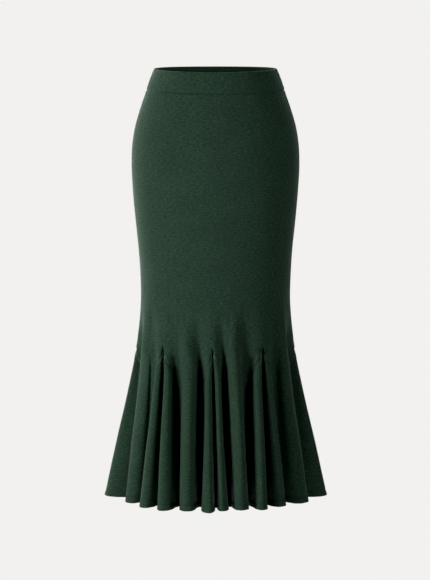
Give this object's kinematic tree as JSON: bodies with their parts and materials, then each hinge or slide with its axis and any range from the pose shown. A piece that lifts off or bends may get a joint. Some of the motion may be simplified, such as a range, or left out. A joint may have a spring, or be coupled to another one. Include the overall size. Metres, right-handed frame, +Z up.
{
  "type": "mermaid fishtail skirt",
  "caption": "Long close-fitting knit skirt with an elastic waistband and a hem flared by godets into deep folds, filled out as worn.",
  "frame": {"origin": "centre of the waistband at half its height, where the wearer's waist holds the skirt", "axes": "+Z up, the front faces -Y, +X towards the wearer's left side"},
  "size_m": [0.4661, 0.3547, 0.895],
  "materials": {
    "body_knit": "matt dark green melange double knit, brushed, with a soft pale bloom at grazing angles",
    "band_knit": "the same knit folded over a flat elastic",
    "thread": "dark green sewing thread"
  },
  "bodies": {
    "root": {"waistband_front": "band_knit", "waistband_back": "band_knit", "body_front": "body_knit", "body_back": "body_knit", "godet_front_left": "body_knit", "godet_front_centre": "body_knit", "godet_front_right": "body_knit", "godet_side_left": "body_knit", "godet_side_right": "body_knit", "godet_back_left": "body_knit", "godet_back_centre": "body_knit", "godet_back_right": "body_knit"}
  },
  "joints": []
}
